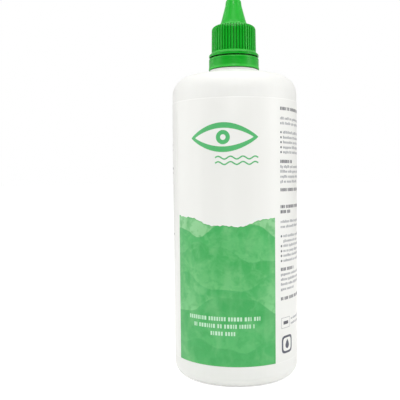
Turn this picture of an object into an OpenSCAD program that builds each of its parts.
// Squeeze bottle for contact lens solution.
// Origin at the centre of the base, +Z up, front of the label facing -Y. Millimetres.

/* [Bottle body] */
// Outside diameter of the round body
body_d = 60; // [56:0.5:64]
// Height at which the straight wall ends and the shoulder starts
body_h = 134.7; // [110:0.1:160]
// Wall thickness of the blown body
wall = 1.0; // [0.8:0.1:1.4]
// Radius of the rounded corner at the base
base_r = 5.5; // [4:0.5:7]
// Inner radius of the foot ring that the bottle stands on
foot_r = 21; // [18:0.5:22]
// Height of the push-up in the middle of the base
push_up = 2.6; // [1.5:0.1:3.5]
// Radius of the rounded shoulder
shoulder_r = 9.2; // [8:0.2:10]

/* [Neck] */
// Diameter of the collar under the tamper ring
collar_d = 23.9; // [23.6:0.1:24.0]
// Diameter of the neck at the root of the thread
neck_d = 16.0; // [15.8:0.1:16.2]
// Bore of the neck
neck_bore = 12.8; // [12.4:0.1:13.2]
// Outside diameter of the neck thread
thread_d = 17.7; // [17.5:0.1:17.8]
// Pitch of the thread, eight turns to the inch
pitch = 3.175; // [3.0:0.005:3.3]
// Turns of thread on the neck
neck_turns = 2.25; // [1.5:0.05:2.3]
// Diameter of the bead that holds the tamper ring down
bead_d = 20.4; // [20.0:0.1:20.6]

/* [Cap] */
// Diameter over the ribs at the bottom of the skirt
skirt_d = 21.6; // [21.5:0.1:21.9]
// Diameter of the flange at the bottom of the cap
flange_d = 24.1; // [23.8:0.1:24.4]
// Number of grip ribs
rib_count = 48; // [36:4:60]
// Depth of the grooves between the ribs
rib_depth = 0.42; // [0.3:0.02:0.46]
// Radius of the spout where it leaves the dome
spout_r = 5.75; // [5.65:0.05:5.9]
// Radius of the spout just under its rounded tip
tip_r = 3.85; // [3.75:0.05:3.95]
// Radius of the rounded top edge of the cap
crown_r = 2.2; // [2.1:0.05:2.25]

/* [Tamper ring] */
// Diameter of the small lip at the bottom of the ring
ring_d = 24.5; // [24.3:0.02:24.7]
// Height of the ring
ring_h = 5.4; // [5.2:0.05:5.4]
// Number of bridge nibs
nib_count = 8; // [6:1:12]

/* [Nozzle insert] */
// Diameter of the orifice
orifice_d = 1.0; // [0.9:0.05:1.2]
// Diameter of the flange that seats on the neck
seat_d = 14.8; // [14.4:0.1:15.2]

/* [Label] */
// Height of the label's bottom edge
label_z0 = 10.2; // [8:0.1:14]
// Distance from the label's top edge to the start of the shoulder
label_top_gap = 3.8; // [2:0.1:10]
// Thickness of the label film
label_t = 0.12; // [0.1:0.01:0.2]
// Width of the overlap at the seam, in degrees
overlap_deg = 12; // [6:1:18]
// Position of the seam, in degrees round from the front
seam_deg = -51; // [-60:1:-46]

/* [Hidden] */
$fn = 144;

white = [0.94, 0.94, 0.93];
green = [0.13, 0.62, 0.19];

body_r = body_d / 2;
n0 = body_h + 12.05;          // top of the collar, the datum for the neck
ring_z0 = n0 + 0.6;
ring_z1 = ring_z0 + ring_h;
cap_z0 = n0 + 6.65;           // underside of the cap's flange
neck_top = n0 + 18.45;
bore_r = neck_bore / 2;
neck_r = neck_d / 2;
slope_deg = 10.4;             // fall of the shoulder away from the neck
thread_z = n0 + 9.65;         // centre of the neck thread at its lower end
skirt_in = 9.35;              // inside radius of the cap's skirt
spout_top = n0 + 35.55;       // tip of the spout

// Points along an arc, from angle a0 to a1.
function arc(cx, cz, r, a0, a1, n) =
    [for (i = [0:n]) let (a = a0 + (a1 - a0) * i / n) [cx + r * cos(a), cz + r * sin(a)]];

// One ring of a helical thread: four corners in the radial plane.
function thread_ring(a, z, r0, r1, w0, w1) =
    [for (q = [[r0, -w0 / 2], [r1, -w1 / 2], [r1, w1 / 2], [r0, w0 / 2]])
        [q[0] * cos(a), q[0] * sin(a), z + q[1]]];

// Right-hand helical thread from angle a0 to a1, rooted at r0, with crest r1.
// The crest runs out to r_end over the first and last 40 degrees.
module thread(z0, a0, a1, r0, r1, r_end, w0, w1) {
    n = round((a1 - a0) / 10);
    flip = r1 < r0;
    rings = [for (i = [0:n])
        let (a = a0 + (a1 - a0) * i / n,
             k = min(1, (a - a0) / 40, (a1 - a) / 40),
             rc = r_end + (r1 - r_end) * k)
        thread_ring(a, z0 + pitch * a / 360, r0, rc, w0, w1)];
    pts = [for (r = rings) each r];
    side = [for (i = [0:n - 1]) for (j = [0:3])
        let (p = 4 * i + j, q = 4 * i + (j + 1) % 4)
        each [[p, q, q + 4], [p, q + 4, p + 4]]];
    m = 4 * n;
    caps = [[0, 2, 1], [0, 3, 2], [m, m + 1, m + 2], [m, m + 2, m + 3]];
    all = concat(side, caps);
    polyhedron(points = pts, faces = [for (f = all) flip ? [f[2], f[1], f[0]] : [f[0], f[1], f[2]]]);
}

module bottle() {
    rs = body_r - shoulder_r;
    a1 = 90 - slope_deg;
    // where the shoulder's arc hands over to its sloping top
    tz = body_h + shoulder_r * sin(a1);
    tr = rs + shoulder_r * cos(a1);
    function slope(r) = tz + (tr - r) * tan(slope_deg);
    cr = collar_d / 2;
    rp = (foot_r * foot_r + push_up * push_up) / (2 * push_up);
    outer = concat(
        [for (i = [0:8]) let (r = foot_r * i / 8) [r, push_up - rp + sqrt(rp * rp - r * r)]],
        arc(body_r - base_r, base_r, base_r, -90, 0, 14),
        arc(rs, body_h, shoulder_r, 0, a1, 18),
        [[cr + 1.0, slope(cr + 1.0)], [cr + 0.3, slope(cr + 0.3) + 0.1], [cr, slope(cr) + 0.4],
         [cr, n0 - 0.25], [cr - 0.25, n0],
         [neck_r + 0.2, n0], [neck_r, n0 + 0.2],
         // catch bead: square below, sloped above so that the ring snaps down over it
         [neck_r, n0 + 2.85], [bead_d / 2 - 0.3, n0 + 3.05], [bead_d / 2, n0 + 3.35],
         [bead_d / 2, n0 + 3.75], [neck_r + 0.4, n0 + 5.05], [neck_r, n0 + 5.35],
         [neck_r, neck_top - 0.4], [neck_r - 0.4, neck_top],
         [bore_r + 0.3, neck_top], [bore_r, neck_top - 0.3]]);
    ri = shoulder_r - wall;
    ti = body_h + ri * sin(a1);
    tri = rs + ri * cos(a1);
    inner = concat(
        [[bore_r, n0 + 0.6], [bore_r + 0.35, n0 - 0.6], [bore_r + 1.3, n0 - 1.7],
         [bore_r + 2.6, ti + (tri - bore_r - 2.6) * tan(slope_deg)]],
        arc(rs, body_h, ri, a1, 0, 14),
        arc(body_r - base_r, base_r, base_r - wall, 0, -90, 12),
        [for (i = [8:-1:0]) let (r = foot_r * i / 8)
            [r, push_up - rp + sqrt(rp * rp - r * r) + wall]]);
    color(white) union() {
        rotate_extrude() polygon(concat(outer, inner));
        thread(thread_z, 0, 360 * neck_turns, neck_r - 0.4, thread_d / 2, neck_r - 0.1, 2.0, 0.9);
    }
}

module nozzle_insert() {
    z = neck_top;
    color([0.93, 0.94, 0.94]) rotate_extrude() polygon([
        // plug skirt, outside then inside
        [bore_r - 1.0, z - 6.4], [bore_r - 0.45, z - 6.4], [bore_r - 0.1, z - 5.6], [bore_r, z - 4.9],
        [bore_r, z],
        // flange that seats on the neck
        [seat_d / 2, z], [seat_d / 2, z + 0.9], [seat_d / 2 - 0.3, z + 1.2],
        // nozzle
        [4.7, z + 1.2], [4.2, z + 1.6], [3.9, z + 2.4], [2.2, z + 10.8], [1.9, z + 11.7],
        [1.6, z + 12.1], [1.1, z + 12.3],
        [orifice_d / 2 + 0.15, z + 12.3], [orifice_d / 2, z + 12.1],
        [orifice_d / 2, z + 10.3], [1.2, z + 9.7], [3.05, z + 2.4], [3.5, z + 1.2],
        [bore_r - 1.2, z - 0.6], [bore_r - 1.1, z - 1.4]]);
}

// Grooves between the ribs, kept to an even depth up the skirt and over the rounded top edge.
module rib_grooves(z) {
    rc = skirt_d / 2;
    step = 360 / rib_count;
    cx = rc - 2.35;               // centre of the rounded edge, as in the cap's outline
    intersection() {
        rotate_extrude() polygon(concat(
            [[rc + 0.6, z + 2.15], [rc - rib_depth, z + 2.15]],
            arc(cx, z + 12.8, crown_r - rib_depth, 0, 66, 10),
            [[cx + crown_r * cos(74), z + 12.8 + crown_r * sin(74) + 0.05], [rc + 0.6, z + 16]]));
        translate([0, 0, z + 2]) linear_extrude(height = 15) difference() {
            circle(r = rc + 0.8);
            polygon([for (i = [0:rib_count - 1]) each [
                [6 * cos(step * (i - 0.30)), 6 * sin(step * (i - 0.30))],
                [(rc + 1) * cos(step * (i - 0.26)), (rc + 1) * sin(step * (i - 0.26))],
                [(rc + 1) * cos(step * (i + 0.26)), (rc + 1) * sin(step * (i + 0.26))],
                [6 * cos(step * (i + 0.30)), 6 * sin(step * (i + 0.30))]]]);
        }
    }
}

module screw_cap() {
    z = cap_z0;
    fr = flange_d / 2;
    sr = skirt_d / 2;
    top = spout_top;
    outer = concat(
        [[skirt_in + 0.35, z - 1.1], [10.45, z - 1.1], [10.6, z - 0.95], [10.6, z],
         [fr - 0.12, z], [fr, z + 0.12], [fr, z + 0.9], [fr - 0.15, z + 1.15], [sr + 0.1, z + 2.1],
         [sr, z + 2.3]],
        // skirt with a little draft, then the rounded top edge
        arc(sr - 2.35, z + 12.8, crown_r, 0, 84, 12),
        [[7.3, z + 15.3], [6.75, z + 15.7], [6.38, z + 16.3], [6.0, z + 17.3], [spout_r, z + 18.2]],
        // spout, tapering less near the end, then its blunt rounded tip
        [[tip_r + 0.1, top - 4.0], [tip_r, top - 3.0]],
        arc(tip_r - 2.15, top - 2.58, 2.07, 10, 58, 6),
        arc(0, top - 5.32, 5.32, 62, 86, 5),
        [[0, top]]);
    inner = concat(
        [[0, top - 2.5]],
        arc(0.9, top - 3.5, 1.0, 90, 15, 5),
        [[4.55, z + 18.2], [4.8, z + 16.0], [5.0, z + 13.8],
         // sealing land that meets the seat of the insert
         [5.6, z + 13.8], [5.6, z + 13.05], [6.4, z + 13.05], [6.4, z + 13.8],
         [8.3, z + 13.8], [8.95, z + 13.3], [skirt_in, z + 12.4], [skirt_in, z - 0.75]]);
    color(green) union() {
        difference() {
            rotate_extrude() polygon(concat(outer, inner));
            rib_grooves(z);
        }
        thread(thread_z - 1.45, 60, 780, skirt_in + 0.4, neck_r + 0.25, skirt_in + 0.1, 1.6, 0.8);
        // pin that closes the orifice
        translate([0, 0, neck_top + 10.9]) cylinder(r = orifice_d / 2 - 0.05, h = top - neck_top - 13.1, $fn = 32);
        // torn halves of the bridges
        for (i = [0:nib_count - 1]) rotate([0, 0, 360 * (i + 0.5) / nib_count])
            translate([11.0, -0.4, z - 0.27]) cube([0.85, 0.8, 0.5]);
    }
}

module tamper_ring() {
    r = ring_d / 2;
    color(green) union() {
        rotate_extrude() polygon([
            // lip, side, bevelled top edge
            [r - 1.3, ring_z0], [r - 0.12, ring_z0], [r, ring_z0 + 0.12], [r - 0.02, ring_z0 + 0.4],
            [r - 0.15, ring_z0 + 1.1], [r - 0.17, ring_z0 + 1.5],
            [r - 0.17, ring_z1 - 0.5], [r - 0.3, ring_z1 - 0.15], [r - 0.6, ring_z1],
            [r - 1.15, ring_z1], [r - 1.3, ring_z1 - 0.15],
            // catch bead, below the bead of the neck
            [r - 1.3, ring_z0 + 2.1], [9.6, ring_z0 + 1.65], [9.45, ring_z0 + 1.45],
            [9.45, ring_z0 + 1.0]]);
        for (i = [0:nib_count - 1]) rotate([0, 0, 360 * (i + 0.5) / nib_count])
            translate([11.0, -0.4, ring_z1 - 0.3]) cube([0.85, 0.8, 0.57]);
    }
}

module wrap_label() {
    ri = body_r + 0.02;
    h = body_h - label_top_gap - label_z0;
    color([0.95, 0.96, 0.95]) union() {
        translate([0, 0, label_z0]) difference() {
            cylinder(r = ri + label_t, h = h);
            translate([0, 0, -1]) cylinder(r = ri, h = h + 2);
        }
        // the end of the film, lying on its own beginning
        rotate([0, 0, seam_deg - 90 - overlap_deg]) translate([0, 0, label_z0])
            rotate_extrude(angle = overlap_deg)
                translate([ri + label_t / 2, 0]) square([label_t * 1.5, h]);
    }
}

bottle();
nozzle_insert();
screw_cap();
tamper_ring();
wrap_label();
